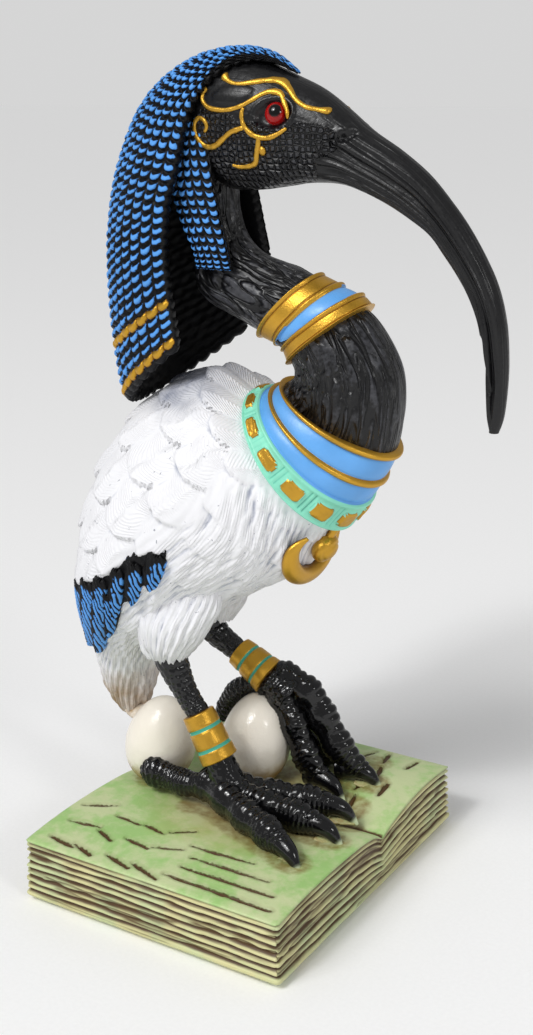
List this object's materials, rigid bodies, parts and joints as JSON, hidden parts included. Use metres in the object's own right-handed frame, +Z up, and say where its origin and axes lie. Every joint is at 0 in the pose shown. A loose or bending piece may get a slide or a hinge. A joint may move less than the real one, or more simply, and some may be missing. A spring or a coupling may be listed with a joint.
{
  "type": "ibis figure",
  "caption": "Table figure of an ibis in a beaded headdress and broad collar, standing with its eggs on an open book",
  "frame": {"origin": "on the surface the figure stands on, under the middle of its overall box", "axes": "+X the way the bird faces, +Y its left side, +Z up"},
  "size_m": [0.1236, 0.0966, 0.2179],
  "materials": {
    "white_plumage": "cast resin painted matt white with a light grey wash between the feathers",
    "black_skin": "cast resin painted satin black, dry-brushed with dark grey on the creases",
    "black_feet": "cast resin painted gloss black",
    "blue_paint": "satin cornflower blue paint dry-brushed over black",
    "gold_paint": "old gold metallic paint with a brown wash in its recesses",
    "turquoise_paint": "satin pale turquoise paint",
    "egg_ivory": "glossy ivory paint with a brown wash at the foot",
    "green_page": "pale green paint with stronger green patches, semi-gloss",
    "page_edge": "cream paint with brown wash in the grooves between the leaves",
    "eye_red": "glossy red with a black pupil",
    "resin_props": "cast resin stained brown and green where claws and eggs meet the page",
    "black_rubber": "moulded rubber pad"
  },
  "bodies": {
    "root": {"ibis_figure": "white_plumage", "pad_front_near": "black_rubber", "pad_front_far": "black_rubber", "pad_back_near": "black_rubber", "pad_back_far": "black_rubber"}
  },
  "joints": []
}
